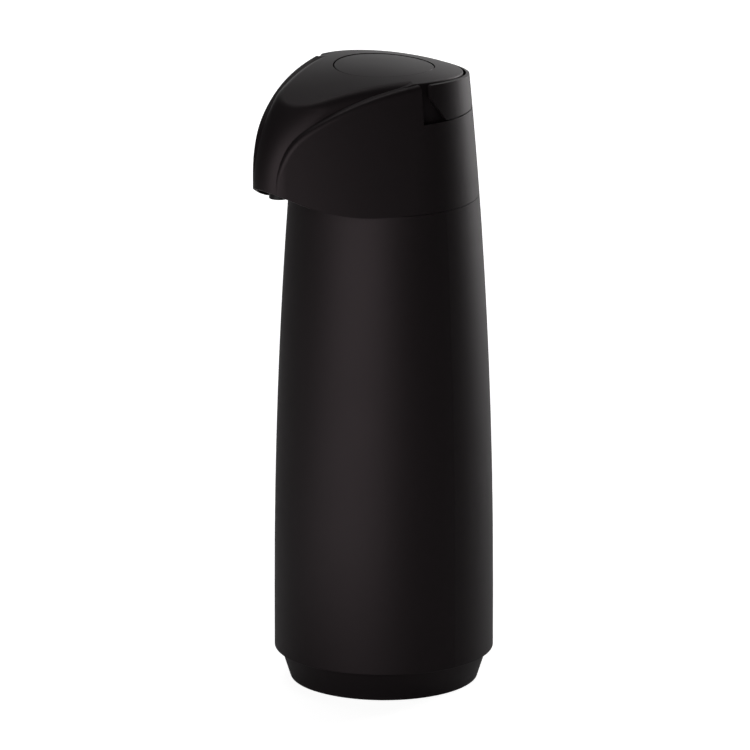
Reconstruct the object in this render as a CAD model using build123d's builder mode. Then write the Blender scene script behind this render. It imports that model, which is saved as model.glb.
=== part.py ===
"""Pump-action vacuum flask (airpot): tapered casing round a double-walled glass liner, screw-on pump
head with a beak, press button over a bellows, and a carrying handle that folds flush round the back.

Frame: millimetres, +Z up, the casing's axis on Z, the foot standing on Z = 0, the beak towards -Y.
"""
import os
from math import atan2, cos, hypot, radians, sin, sqrt, tan

from build123d import *

os.makedirs("parts", exist_ok=True)

# Casing: straight at the foot, then one long arc that narrows it towards the top
casing_radius = 66.0
casing_bottom = 18.7
straight_height = 37.9
taper_arc_radius = 3402.0
casing_wall = 2.6
casing_edge_fillet = 0.5
seam_height = 300.8
shoulder_wall = 2.6
shoulder_width = 17.2
neck_wall = 3.0
neck_height = 10.2
neck_web = 3.0
mouth_inset = 4.5

# Foot and base cup, which screws into the casing from below
foot_inset = 9.6
foot_step = 3.6
foot_wall = 2.4
foot_edge_fillet = 0.8
thread_clearance = 0.3
base_skirt_rise = 17.3
base_skirt_wall = 2.4
stop_ring_height = 2.5
base_floor_height = 15.0
base_floor_thickness = 2.5
base_floor_slope = 1.2
base_rib_count = 8
base_rib_thickness = 2.0
base_rib_depth = 8.0
base_hub_radius = 16.0
cushion_ring_overlap = 2.5
cushion_ring_wall = 2.2
cushion_ring_height = 6.0

# Glass liner: two blown walls joined at the rim, with a vacuum between them
insulation_gap = 5.9
glass_wall = 1.5
vacuum_gap = 3.0
glass_corner_radius = 26.0
glass_shoulder_drop = 84.0
glass_shoulder_radius = 30.0
glass_shoulder_angle = 50.0
glass_throat_radius = 14.0
glass_tip_radius = 4.0
glass_tip_length = 5.0
glass_tip_taper = 12.0
cushion_height = 8.8
cushion_gap = 0.2
cushion_hole_radius = 8.0
cushion_chamfer = 1.0
seal_thickness = 2.0
seal_width = 6.0
seal_lip_height = 6.0

# Plan outline of the pump head: a circle that follows the casing, two long flank arcs and a round nose
flank_arc_radius = 275.0
nose_radius = 18.4
beak_reach = 96.7
head_height = 80.5
seam_gap = 0.3
head_wall = 2.3

# Crown: the crowned top face, longer in curve from side to side than from front to back
crown_centre_y = -5.0
crown_radius_along = 194.0
crown_radius_across = 427.0
crown_half_turn = 12.0

# How far helper blocks and cutters run past the shape they trim
block_margin = 10.0

# Carrying handle, folded down round the back of the head, measured from its pivot
handle_thickness = 2.0
handle_gap = 1.8
handle_ledge_gap = 0.6
handle_drop = 0.4
handle_reach = 8.1
handle_corner_rise = 2.4
handle_slant = (0.6, 7.6)
handle_foot = (2.8, 12.7)
handle_corner_radius = 2.5
handle_top_radius = 1.8
pivot_y = 1.0
pivot_drop = 13.3
pivot_pin_radius = 3.0
pivot_clearance = 0.08
pivot_boss_radius = 6.0
pivot_boss_gap = 0.6
pivot_pin_length = 6.0
pocket_radius = 13.6
pocket_corner_radius = 4.5

# Hood: the raised spine from the crown down to the tip of the beak
hood_front_radius = 72.5
hood_front_rise = 7.9
hood_nose_low = 16.8
hood_nose_high = 35.0
hood_over_crown = 0.7
hood_sections = 10
flank_sections = 4
hood_front_fillet = 8.0
hood_rear_fillet = 1.0
hood_blend_drop = 2.0
hood_blend_angle = 14.0

# Upper edge of the flanks, as distances behind the beak's tip and below the crown
shoulder_start_drop = 2.9
shoulder_edge = ((51.7, 9.7), (27.7, 20.3), (13.7, 31.1), (6.7, 43.5), (3.5, 61.3))
shoulder_foot = 1.2
shoulder_fillet = 3.0

# Lower edge of the head: flat round the casing, then sweeping up to the beak
lip_start_y = -40.0
lip_arc_radius = 91.0
lip_angle = 28.0

# Press button, its shaft in the head, and the stop that holds it in
button_radius = 29.9
button_gap = 0.6
button_drop = 0.3
button_top_thickness = 2.6
button_wall = 2.0
button_edge_fillet = 0.6
button_skirt_below = 10.0
button_hub_radius = 19.0
button_rib_count = 6
button_rib_thickness = 1.6
button_rib_cut = 1.6
stop_drop = 9.7
stop_lip_width = 1.3
stop_lip_height = 3.2
stop_clearance = 0.3
shaft_wall = 2.0
shaft_depth = 31.6

# Bellows between the button and its seat, with the spring inside it
seat_rise = 14.6
seat_plate_thickness = 2.5
seat_rim = 2.4
seat_skirt_wall = 2.0
seat_notch_clearance = 1.0
bellows_gap = 1.3
bellows_fold_depth = 4.6
bellows_wall = 1.0
bellows_folds = 6
bellows_collar = 2.0
bellows_cap_drop = 0.6
bellows_cap_thickness = 2.0
spring_radius = 13.0
spring_wire_radius = 0.8
spring_turns = 5.0
spring_end_gap = 0.1
spring_guide_gap = 0.4
spring_guide_height = 2.5
valve_flap_radius = 5.0
valve_flap_thickness = 0.8
valve_stem_radius = 1.3
valve_barb = 0.5
valve_barb_length = 2.0
valve_hole_radius = 0.9
valve_hole_circle = 3.2
valve_hole_count = 4

# Screw cap inside the head: thread skirt with room for its thread, plug, flange and gasket
cap_thread_wall = 2.8
cap_thread_clearance = 2.0
cap_thread_rise = 1.6
gasket_seat_gap = 0.1
lid_gasket_thickness = 2.2
lid_gasket_inset = 4.0
cap_plate_thickness = 3.0
plug_gap = 0.8
plug_wall = 2.4
plug_depth = 12.0
plug_floor = 2.4
flange_rise = 3.2
flange_thickness = 2.2
flange_clearance = 0.4
air_port_count = 6
air_port_radius = 2.2
nipple_gap = 1.0
nipple_radius = 4.5
nipple_bore_radius = 2.5

# Riser: dip tube, check valve with its ball, delivery tube and spout tip
dip_tube_radius = 3.5
dip_tube_bore_radius = 2.5
dip_tube_clearance = 9.5
dip_tube_slot_width = 1.2
dip_tube_slot_height = 4.0
tube_insertion = 12.0
push_fit = 0.02
valve_body_radius = 6.4
valve_body_drop = 12.0
valve_flange_radius = 8.5
valve_flange_thickness = 1.6
valve_seat_radius = 3.0
valve_seat_length = 1.5
seat_cone_height = 1.4
ball_radius = 4.0
ball_lift = 3.0
ball_seat_gap = 0.05
guard_thickness = 1.4
delivery_radius = 4.5
delivery_bore_radius = 3.2
delivery_roof = 1.5
delivery_bend_radius = 6.6
spout_setback = 14.7
spout_radius = 6.0
spout_rise = 11.2
spout_recess = 1.5
spout_length = 6.0
beak_floor_rise = 4.0
beak_floor_thickness = 2.0
beak_floor_gap = 0.2
beak_floor_front = -30.0

# Fasteners between the screw cap's flange and the bosses in the head
screw_edge = 4.0
screw_angles = (-18.0, 60.0, 120.0, 198.0)
screw_radius = 1.5
screw_head_radius = 3.0
screw_head_height = 1.6
screw_length = 10.0
screw_hole_clearance = 0.1
screw_socket_radius = 1.4
boss_radius = 3.3
boss_height = 14.0
boss_web_thickness = 2.0


# Heights that follow from the ones above
taper_start = casing_bottom + straight_height
base_skirt_top = casing_bottom + base_skirt_rise
neck_top = seam_height + neck_height
crown_height = seam_height + head_height
hood_low = seam_height - block_margin
hood_high = crown_height + hood_over_crown
hood_front_z = crown_height + hood_front_rise - hood_front_radius
hood_inset = handle_thickness + handle_gap
pivot_z = crown_height - pivot_drop
handle_bottom = pivot_z - handle_foot[1]
pocket_front = pivot_y - pocket_radius
stop_height = crown_height - stop_drop
shaft_bottom = stop_height - shaft_depth
bellows_top = stop_height - bellows_cap_drop


def casing_outer_radius(z):
    """Radius of the tapered outer surface, shared by casing, head and handle, at height z."""
    if z <= taper_start:
        return casing_radius
    return casing_radius - (taper_arc_radius - sqrt(taper_arc_radius**2 - (z - taper_start) ** 2))


def taper_points(z_low, z_high, inset):
    """Three points (radius, height) of the long taper arc, moved inwards by inset."""
    heights = (z_low, (z_low + z_high) / 2, z_high)
    return [(casing_outer_radius(z) - inset, z) for z in heights]


def head_outline(radius, nose, reach, inset):
    """Adds the head's plan outline to the current line builder: round back, flank arcs and nose."""
    centre = reach - nose
    flank = flank_arc_radius
    cy = ((flank - nose) ** 2 - (flank - radius) ** 2 - centre**2) / (2 * centre)
    cx = sqrt((flank - radius) ** 2 - cy**2)
    back_angle = atan2(cx, cy)
    nose_angle = atan2(cx, centre + cy)
    middle = (back_angle + nose_angle) / 2
    back, tip, side = radius - inset, nose - inset, flank - inset

    def mirrored(point):
        return (-point[0], point[1])

    nose_end = (tip * sin(nose_angle), -centre - tip * cos(nose_angle))
    back_end = (back * sin(back_angle), -back * cos(back_angle))
    flank_middle = (side * sin(middle) - cx, cy - side * cos(middle))
    ThreePointArc(mirrored(nose_end), (0, -centre - tip), nose_end)
    ThreePointArc(nose_end, flank_middle, back_end)
    ThreePointArc(back_end, (0, back), mirrored(back_end))
    ThreePointArc(mirrored(back_end), mirrored(flank_middle), mirrored(nose_end))


def hood_reach(z):
    """How far the hood's front stands from the axis at height z, on its profile arc."""
    rise = max(z - hood_front_z, 0.0)
    return beak_reach - hood_front_radius + sqrt(hood_front_radius**2 - rise**2)


def hood_nose(z):
    """Radius of the hood's nose at height z: narrow at the beak, broad at the crown."""
    share = (z - hood_low) / (hood_high - hood_low)
    return hood_nose_low + (hood_nose_high - hood_nose_low) * share**3


def lip_points(raise_by):
    """Side view of the head's lower edge, raised: flat, an upward arc, then a slope to the tip."""
    angle = radians(lip_angle)
    low = seam_height + seam_gap + raise_by
    radius = lip_arc_radius - raise_by
    half = angle / 2
    start = (lip_start_y, low)
    middle = (lip_start_y - radius * sin(half), low + radius * (1 - cos(half)))
    end = (lip_start_y - radius * sin(angle), low + radius * (1 - cos(angle)))
    past_tip = beak_reach + block_margin
    tip = (-past_tip, end[1] + (past_tip + end[0]) * tan(angle))
    return start, middle, end, tip


# Crown surface as a solid: everything below the crowned top face
def crown_block(inset):
    axis_z = crown_height - crown_radius_across
    tilt = radians(crown_half_turn)
    plane = Plane(origin=(0, 0, axis_z), x_dir=(0, 1, 0), z_dir=(cos(tilt), 0, sin(tilt)))
    arc = crown_radius_along - inset
    centre_v = crown_radius_across - crown_radius_along
    front, rear = -beak_reach - block_margin, casing_radius + block_margin
    low = hood_low - block_margin - axis_z

    def on_arc(y):
        return (y, centre_v + sqrt(arc**2 - (y - crown_centre_y) ** 2))

    with BuildPart(mode=Mode.PRIVATE) as block:
        with BuildSketch(plane):
            with BuildLine():
                ThreePointArc(on_arc(front), on_arc(crown_centre_y), on_arc(rear))
                Polyline(on_arc(rear), (rear, low), (front, low), on_arc(front))
            make_face()
        revolve(axis=Axis((0, 0, axis_z), (0, 1, 0)), revolution_arc=2 * crown_half_turn)
    return block.part


# Everything above the head's lower edge, as seen from the side
def above_lip(raise_by):
    start, middle, end, tip = lip_points(raise_by)
    rear, top = casing_radius + block_margin, hood_high + block_margin
    with BuildPart(mode=Mode.PRIVATE) as block:
        with BuildSketch(Plane.YZ):
            with BuildLine():
                Line((rear, start[1]), start)
                ThreePointArc(start, middle, end)
                Polyline(end, tip, (tip[0], top), (rear, top), (rear, start[1]))
            make_face()
        extrude(amount=rear, both=True)
    return block.part


def moved_inwards(points, inset):
    """Points of an open outline, each moved to the right of its direction of travel by inset."""
    moved = []
    for index, (y, z) in enumerate(points):
        before = points[max(index - 1, 0)]
        after = points[min(index + 1, len(points) - 1)]
        run, rise = after[0] - before[0], after[1] - before[1]
        length = hypot(run, rise)
        moved.append((y - rise / length * inset, z + run / length * inset))
    return moved


# Side view of the flanks: up to the handle's ledge behind, up to the shoulder's edge in front
def flank_block(inset):
    ledge = handle_bottom - handle_ledge_gap - inset
    front = pocket_front - inset
    rear, low = casing_radius + block_margin, hood_low - block_margin
    edge = [(pocket_front, crown_height - shoulder_start_drop)]
    edge += [(behind - beak_reach, crown_height - below) for behind, below in shoulder_edge]
    edge = moved_inwards(edge, inset)
    edge[0] = (front, edge[0][1])
    with BuildPart(mode=Mode.PRIVATE) as block:
        with BuildSketch(Plane.YZ) as side:
            with BuildLine():
                Polyline((rear, low), (rear, ledge), (front, ledge), edge[0])
                Spline(edge)
                Polyline(edge[-1], (shoulder_foot - beak_reach + inset, low), (rear, low))
            make_face()
            fillet(side.vertices().sort_by_distance((0, front, ledge))[0], pocket_corner_radius)
        extrude(amount=rear, both=True)
    return block.part


# The flanks and the round back, with the full plan outline
def flank_form(inset):
    lowest_fillet = crown_height - shoulder_edge[-1][1] - shoulder_fillet
    with BuildPart(mode=Mode.PRIVATE) as form:
        for index in range(flank_sections):
            z = hood_low + (hood_high - hood_low) * index / (flank_sections - 1)
            with BuildSketch(Plane.XY.offset(z)):
                with BuildLine():
                    head_outline(casing_outer_radius(z), nose_radius, beak_reach, inset)
                make_face()
        loft()
        add(flank_block(inset), mode=Mode.INTERSECT)
        add(crown_block(inset), mode=Mode.INTERSECT)
        edges = form.edges().filter_by(
            lambda e: e.center().Z > lowest_fillet and e.center().Y < pocket_front - shoulder_fillet
        )
        if inset == 0.0:
            fillet(edges, shoulder_fillet)
    return form.part


# The hood and the crown, standing in from the flanks, with the given rounding at the crown's edge
def hood_form(inset, rounding):
    with BuildPart(mode=Mode.PRIVATE) as form:
        for index in range(hood_sections):
            z = hood_low + (hood_high - hood_low) * index / (hood_sections - 1)
            with BuildSketch(Plane.XY.offset(z)):
                with BuildLine():
                    head_outline(casing_outer_radius(z) - hood_inset, hood_nose(z), hood_reach(z), inset)
                make_face()
        loft()
        add(crown_block(inset), mode=Mode.INTERSECT)
        if rounding > 0.0:
            fillet(form.faces().sort_by(Axis.Z)[-1].edges(), rounding)
    return form.part


# The hood as it is seen: crisp beside the handle, softly rounded in front of a sloping cut
def outer_hood_form():
    front, start = -beak_reach - block_margin, crown_height - hood_blend_drop
    high = hood_high + block_margin
    with BuildPart(mode=Mode.PRIVATE) as rear:
        add(hood_form(0.0, hood_rear_fillet))
        with BuildSketch(Plane.YZ):
            with BuildLine():
                end = start - (pocket_front - front) * tan(radians(hood_blend_angle))
                Polyline((pocket_front, high), (pocket_front, start), (front, end), (front, high))
                Line((front, high), (pocket_front, high))
            make_face()
        extrude(amount=beak_reach, both=True, mode=Mode.SUBTRACT)
    return hood_form(0.0, hood_front_fillet), rear.part


# Sizes of the fits between the pieces
casing_top_radius = casing_outer_radius(seam_height)
neck_radius = casing_top_radius - shoulder_width
neck_inner_radius = neck_radius - neck_wall
shoulder_bottom = seam_height - shoulder_wall
shoulder_inner_radius = casing_outer_radius(shoulder_bottom) - casing_wall
foot_radius = casing_radius - foot_inset
foot_top_radius = casing_radius - foot_step
skirt_radius = casing_radius - casing_wall - thread_clearance
base_stop_height = base_skirt_top + thread_clearance
floor_top = base_floor_height + base_floor_thickness
glass_layers = 2 * glass_wall + vacuum_gap
glass_radius = casing_radius - casing_wall - insulation_gap
glass_bottom = floor_top + cushion_height + cushion_gap
glass_rim = neck_top - neck_web - seal_thickness
glass_shoulder_start = glass_rim - glass_shoulder_drop
glass_neck_radius = neck_inner_radius - seal_width
mouth_radius = glass_neck_radius - mouth_inset
cushion_ring_radius = glass_radius - glass_corner_radius + cushion_ring_overlap
cap_thread_radius = neck_radius + cap_thread_clearance
cap_radius = cap_thread_radius + cap_thread_wall
cap_thread_bottom = seam_height + cap_thread_rise
lid_gasket_outer_radius = neck_radius - lid_gasket_inset
gasket_bottom = neck_top + gasket_seat_gap
cap_plate_bottom = gasket_bottom + lid_gasket_thickness + gasket_seat_gap
cap_plate_top = cap_plate_bottom + cap_plate_thickness
plug_radius = glass_neck_radius - glass_layers - plug_gap
plug_bottom = neck_top - plug_depth
air_port_circle = (valve_body_radius + plug_radius - plug_wall) / 2
nipple_y = valve_flange_radius + nipple_radius + nipple_gap
flange_bottom = seam_height + flange_rise
flange_top = flange_bottom + flange_thickness
flange_radius = casing_outer_radius(flange_bottom) - head_wall - flange_clearance
screw_circle = flange_radius - screw_edge
seat_plate_bottom = cap_plate_top + seat_rise
seat_top = seat_plate_bottom + seat_plate_thickness
button_bottom = stop_height - stop_clearance - stop_lip_height - button_skirt_below
opening_radius = button_radius + button_gap
shaft_radius = button_radius + stop_lip_width + stop_clearance
bellows_radius = button_radius - button_wall - bellows_gap
bellows_root_radius = bellows_radius - bellows_fold_depth
seat_plate_radius = bellows_radius + seat_rim
spring_guide_radius = spring_radius - spring_wire_radius - spring_guide_gap
valve_body_bottom = plug_bottom - valve_body_drop
dip_tube_end = glass_bottom + glass_layers + dip_tube_clearance
delivery_height = seat_plate_bottom - delivery_radius - delivery_roof
chamber_radius = delivery_radius + push_fit
spout_y = spout_setback - beak_reach
spout_bottom = seam_height + spout_rise


# Casing: one drawn shell with its shoulder, threaded neck and the web that holds the liner's seal
with BuildPart() as outer_casing:
    with BuildSketch(Plane.XZ):
        with BuildLine():
            Polyline((casing_radius, casing_bottom), (casing_radius, taper_start))
            ThreePointArc(*taper_points(taper_start, seam_height, 0.0))
            Polyline((casing_top_radius, seam_height), (neck_radius, seam_height), (neck_radius, neck_top))
            Polyline((neck_radius, neck_top), (mouth_radius, neck_top), (mouth_radius, neck_top - neck_web))
            Polyline(
                (mouth_radius, neck_top - neck_web),
                (neck_inner_radius, neck_top - neck_web),
                (neck_inner_radius, shoulder_bottom),
                (shoulder_inner_radius, shoulder_bottom),
            )
            ThreePointArc(*reversed(taper_points(taper_start, shoulder_bottom, casing_wall)))
            Polyline(
                (casing_radius - casing_wall, taper_start),
                (casing_radius - casing_wall, base_stop_height + stop_ring_height),
                (skirt_radius - base_skirt_wall, base_stop_height + stop_ring_height),
                (skirt_radius - base_skirt_wall, base_stop_height),
                (casing_radius - casing_wall, base_stop_height),
                (casing_radius - casing_wall, casing_bottom),
                (casing_radius, casing_bottom),
            )
        make_face()
    revolve(axis=Axis.Z)
    rims = outer_casing.edges().filter_by(GeomType.CIRCLE).group_by(Axis.Z)
    fillet(rims[0].sort_by(SortBy.RADIUS)[-1], casing_edge_fillet)
outer_casing.part.label = "outer_casing"


# Base cup: coned foot, skirt that screws up into the casing, ribbed floor under the liner's cushion
with BuildPart() as base_cup:
    with BuildSketch(Plane.XZ):
        with BuildLine():
            Polyline(
                (foot_radius, 0),
                (foot_top_radius, casing_bottom - thread_clearance),
                (skirt_radius, casing_bottom - thread_clearance),
                (skirt_radius, base_skirt_top),
                (skirt_radius - base_skirt_wall, base_skirt_top),
                (skirt_radius - base_skirt_wall, floor_top),
                (0, floor_top),
                (0, base_floor_height),
                (foot_top_radius - foot_wall - base_floor_slope, base_floor_height),
                (foot_radius - foot_wall, 0),
                (foot_radius, 0),
            )
        make_face()
    revolve(axis=Axis.Z)
    fillet(base_cup.edges().group_by(Axis.Z)[0].sort_by(SortBy.RADIUS)[-1], foot_edge_fillet)
    with BuildSketch(Plane.XY.offset(base_floor_height)):
        Circle(base_hub_radius)
        Circle(base_hub_radius - base_rib_thickness, mode=Mode.SUBTRACT)
        with PolarLocations((base_hub_radius + foot_radius - foot_wall) / 2, base_rib_count):
            Rectangle(foot_radius - foot_wall - base_hub_radius + base_rib_thickness, base_rib_thickness)
    extrude(amount=-base_rib_depth)
    with BuildSketch(Plane.XY.offset(floor_top)):
        Circle(cushion_ring_radius + cushion_ring_wall)
        Circle(cushion_ring_radius, mode=Mode.SUBTRACT)
    extrude(amount=cushion_ring_height)
base_cup.part.label = "base_cup"


# Rubber cushion: carries the liner on its flat bottom, open in the middle for the sealed tip
with BuildPart() as base_cushion:
    with BuildSketch(Plane.XY.offset(floor_top)):
        Circle(cushion_ring_radius - cushion_gap)
        Circle(cushion_hole_radius, mode=Mode.SUBTRACT)
    extrude(amount=cushion_height)
    top_rim = base_cushion.edges().group_by(Axis.Z)[-1].sort_by(SortBy.RADIUS)[-1]
    chamfer(top_rim, cushion_chamfer)
base_cushion.part.label = "base_cushion"


def liner_half_section(inset, top):
    """Half section of the liner's surface moved inwards by inset, closed along the axis."""
    turn = radians(glass_shoulder_angle)
    side = glass_radius - inset
    corner = glass_corner_radius - inset
    shoulder = glass_shoulder_radius - inset
    neck = glass_neck_radius - inset
    bottom = glass_bottom + inset
    corner_x = glass_radius - glass_corner_radius
    shoulder_x = glass_radius - glass_shoulder_radius
    throat = glass_throat_radius + inset
    throat_x = glass_neck_radius + glass_throat_radius
    arc_end = (shoulder_x + shoulder * cos(turn), glass_shoulder_start + shoulder * sin(turn))
    line_run = shoulder_x + glass_shoulder_radius * cos(turn) - throat_x + glass_throat_radius * cos(turn)
    throat_z = glass_shoulder_start + glass_shoulder_radius * sin(turn)
    throat_z += line_run / tan(turn) + glass_throat_radius * sin(turn)
    throat_start = (throat_x - throat * cos(turn), throat_z - throat * sin(turn))
    diagonal = sqrt(0.5)
    with BuildSketch(Plane.XZ, mode=Mode.PRIVATE) as half:
        with BuildLine():
            Line((0, bottom), (corner_x, bottom))
            ThreePointArc(
                (corner_x, bottom),
                (corner_x + corner * diagonal, glass_bottom + glass_corner_radius - corner * diagonal),
                (side, glass_bottom + glass_corner_radius),
            )
            Line((side, glass_bottom + glass_corner_radius), (side, glass_shoulder_start))
            ThreePointArc(
                (side, glass_shoulder_start),
                (shoulder_x + shoulder * cos(turn / 2), glass_shoulder_start + shoulder * sin(turn / 2)),
                arc_end,
            )
            Line(arc_end, throat_start)
            ThreePointArc(
                throat_start,
                (throat_x - throat * cos(turn / 2), throat_z - throat * sin(turn / 2)),
                (neck, throat_z),
            )
            Polyline((neck, throat_z), (neck, top), (0, top), (0, bottom))
        make_face()
    return half.sketch


# Glass liner: outer wall with the tip where it was pumped out, inner wall, and the rim that joins them
outer_surface = liner_half_section(0.0, glass_rim)
vacuum_outside = liner_half_section(glass_wall, glass_rim - glass_wall)
vacuum_inside = liner_half_section(glass_wall + vacuum_gap, glass_rim + glass_wall)
inside_surface = liner_half_section(glass_layers, glass_rim + glass_wall)
with BuildPart() as glass_liner:
    with BuildSketch(Plane.XZ):
        add(outer_surface)
        add(vacuum_outside, mode=Mode.SUBTRACT)
    revolve(axis=Axis.Z)
    with BuildSketch(Plane.XZ):
        add(vacuum_inside)
        add(inside_surface, mode=Mode.SUBTRACT)
        with Locations((0, glass_rim + glass_radius)):
            Rectangle(4 * glass_radius, 2 * glass_radius, mode=Mode.SUBTRACT)
    revolve(axis=Axis.Z)
    with BuildSketch(Plane.XY.offset(glass_rim)):
        Circle(glass_neck_radius - glass_layers)
    extrude(amount=-glass_wall, mode=Mode.SUBTRACT)
    with BuildSketch(Plane.XY.offset(glass_bottom + glass_wall / 2)):
        Circle(glass_tip_radius)
    extrude(amount=-glass_tip_length - glass_wall / 2, taper=glass_tip_taper)
glass_liner.part.label = "glass_liner"


# Seal between the liner's rim and the casing's web
with BuildPart() as liner_seal:
    with BuildSketch(Plane.XZ):
        with BuildLine():
            Polyline(
                (mouth_radius, glass_rim),
                (mouth_radius, neck_top - neck_web),
                (neck_inner_radius - push_fit, neck_top - neck_web),
                (neck_inner_radius - push_fit, glass_rim - seal_lip_height),
                (glass_neck_radius + push_fit, glass_rim - seal_lip_height),
                (glass_neck_radius + push_fit, glass_rim),
                (mouth_radius, glass_rim),
            )
        make_face()
    revolve(axis=Axis.Z)
liner_seal.part.label = "liner_seal"


# Gasket that lies on the web and rises with the pump head
with BuildPart() as lid_gasket:
    with BuildSketch(Plane.XY.offset(gasket_bottom)):
        Circle(lid_gasket_outer_radius)
        Circle(mouth_radius, mode=Mode.SUBTRACT)
    extrude(amount=lid_gasket_thickness)
lid_gasket.part.label = "lid_gasket"


# Screw cap: thread skirt, flange for the head's screws, plate, and the plug that hangs in the mouth
with BuildPart() as screw_cap:
    with BuildSketch(Plane.XZ):
        with BuildLine():
            Polyline(
                (0, cap_plate_top),
                (cap_radius, cap_plate_top),
                (cap_radius, flange_top),
                (flange_radius, flange_top),
                (flange_radius, flange_bottom),
                (cap_radius, flange_bottom),
                (cap_radius, cap_thread_bottom),
                (cap_thread_radius, cap_thread_bottom),
                (cap_thread_radius, cap_plate_bottom),
                (plug_radius, cap_plate_bottom),
                (plug_radius, plug_bottom),
                (0, plug_bottom),
                (0, plug_bottom + plug_floor),
                (plug_radius - plug_wall, plug_bottom + plug_floor),
                (plug_radius - plug_wall, cap_plate_bottom),
                (0, cap_plate_bottom),
                (0, cap_plate_top),
            )
        make_face()
    revolve(axis=Axis.Z)
    with BuildSketch(Plane.XY.offset(plug_bottom)):
        Circle(valve_body_radius + push_fit)
        with PolarLocations(air_port_circle, air_port_count):
            Circle(air_port_radius)
    extrude(amount=plug_floor, mode=Mode.SUBTRACT)
    with BuildSketch(Plane.XY.offset(cap_plate_bottom)):
        Circle(valve_body_radius + push_fit)
        with Locations((0, nipple_y)):
            Circle(nipple_radius + push_fit)
    extrude(amount=cap_plate_thickness, mode=Mode.SUBTRACT)
    with BuildSketch(Plane.XY.offset(flange_bottom)):
        for angle in screw_angles:
            with Locations((screw_circle * cos(radians(angle)), screw_circle * sin(radians(angle)))):
                Circle(screw_radius + screw_hole_clearance)
    extrude(amount=flange_thickness, mode=Mode.SUBTRACT)
screw_cap.part.label = "screw_cap"


# Rubber tube that leads the bellows' air through the cap into the flask
with BuildPart() as air_tube:
    with BuildSketch(Plane.XY.offset(cap_plate_bottom)):
        with Locations((0, nipple_y)):
            Circle(nipple_radius)
            Circle(nipple_bore_radius, mode=Mode.SUBTRACT)
    extrude(amount=seat_top - cap_plate_bottom)
air_tube.part.label = "air_tube"


# Bellows seat: a plate on a skirt that stands on the screw cap, open in front for the delivery tube
with BuildPart() as bellows_seat:
    with BuildSketch(Plane.XY.offset(cap_plate_top)):
        Circle(seat_plate_radius)
    extrude(amount=seat_top - cap_plate_top)
    with BuildSketch(Plane.XY.offset(cap_plate_top)):
        Circle(seat_plate_radius - seat_skirt_wall)
    extrude(amount=seat_plate_bottom - cap_plate_top, mode=Mode.SUBTRACT)
    with BuildSketch(Plane.XY.offset(cap_plate_top)):
        with Locations((0, -seat_plate_radius)):
            Rectangle(2 * (delivery_radius + seat_notch_clearance), seat_plate_radius)
    extrude(amount=seat_plate_bottom - cap_plate_top, mode=Mode.SUBTRACT)
    with BuildSketch(Plane.XY.offset(seat_plate_bottom)):
        with Locations((0, nipple_y)):
            Circle(nipple_radius + push_fit)
    extrude(amount=seat_plate_thickness, mode=Mode.SUBTRACT)
    with BuildSketch(Plane.XY.offset(seat_top)):
        Circle(spring_guide_radius)
        Circle(spring_guide_radius - seat_skirt_wall, mode=Mode.SUBTRACT)
        with Locations((0, nipple_y)):
            Circle(nipple_radius + push_fit, mode=Mode.SUBTRACT)
    extrude(amount=spring_guide_height)
bellows_seat.part.label = "bellows_seat"


# Bellows: folds of rubber between its seat and the cap under the button
bellows_height = bellows_top - seat_top
fold_pitch = (bellows_height - 2 * bellows_collar) / bellows_folds
with BuildPart() as bellows:
    with BuildSketch(Plane.XZ):
        with BuildLine():
            start_z = seat_top + bellows_collar
            outside = [(bellows_root_radius, seat_top), (bellows_root_radius, start_z)]
            for fold in range(bellows_folds):
                low = start_z + fold * fold_pitch
                outside += [(bellows_radius, low + fold_pitch / 2), (bellows_root_radius, low + fold_pitch)]
            outside.append((bellows_root_radius, bellows_top))
            inside = [(x - bellows_wall, z) for x, z in reversed(outside)]
            Polyline(*outside, *inside, outside[0])
        make_face()
    revolve(axis=Axis.Z)
bellows.part.label = "bellows"


# Return spring: one unbroken wire, wound round its guide
with BuildPart() as return_spring:
    coil_bottom = seat_top + spring_wire_radius + spring_end_gap
    coil_height = bellows_top - seat_top - 2 * (spring_wire_radius + spring_end_gap)
    with BuildLine() as wire:
        Helix(coil_height / spring_turns, coil_height, spring_radius, center=(0, 0, coil_bottom))
    with BuildSketch(Plane(wire.line @ 0, z_dir=wire.line % 0)):
        Circle(spring_wire_radius)
    sweep(path=wire.line, is_frenet=True)
return_spring.part.label = "return_spring"
print("spring: least gap between turns", round(coil_height / spring_turns - 2 * spring_wire_radius, 2))


# Cap on top of the bellows, with the holes that its flap closes when the button goes down
with BuildPart() as bellows_cap:
    with BuildSketch(Plane.XY.offset(bellows_top)):
        Circle(bellows_root_radius)
        Circle(valve_stem_radius + push_fit, mode=Mode.SUBTRACT)
        with PolarLocations(valve_hole_circle, valve_hole_count):
            Circle(valve_hole_radius, mode=Mode.SUBTRACT)
    extrude(amount=bellows_cap_thickness)
bellows_cap.part.label = "bellows_cap"


# Rubber flap valve: a disc under the cap on a stem with a barb above it
with BuildPart() as intake_flap:
    with BuildSketch(Plane.XZ):
        with BuildLine():
            cap_top = bellows_top + bellows_cap_thickness
            Polyline(
                (0, bellows_top - valve_flap_thickness),
                (valve_flap_radius, bellows_top - valve_flap_thickness / 2),
                (valve_flap_radius, bellows_top),
                (valve_stem_radius, bellows_top),
                (valve_stem_radius, cap_top),
                (valve_stem_radius + valve_barb, cap_top),
                (valve_stem_radius / 2, cap_top + valve_barb_length),
                (0, cap_top + valve_barb_length),
                (0, bellows_top - valve_flap_thickness),
            )
        make_face()
    revolve(axis=Axis.Z)
intake_flap.part.label = "intake_flap"


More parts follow.
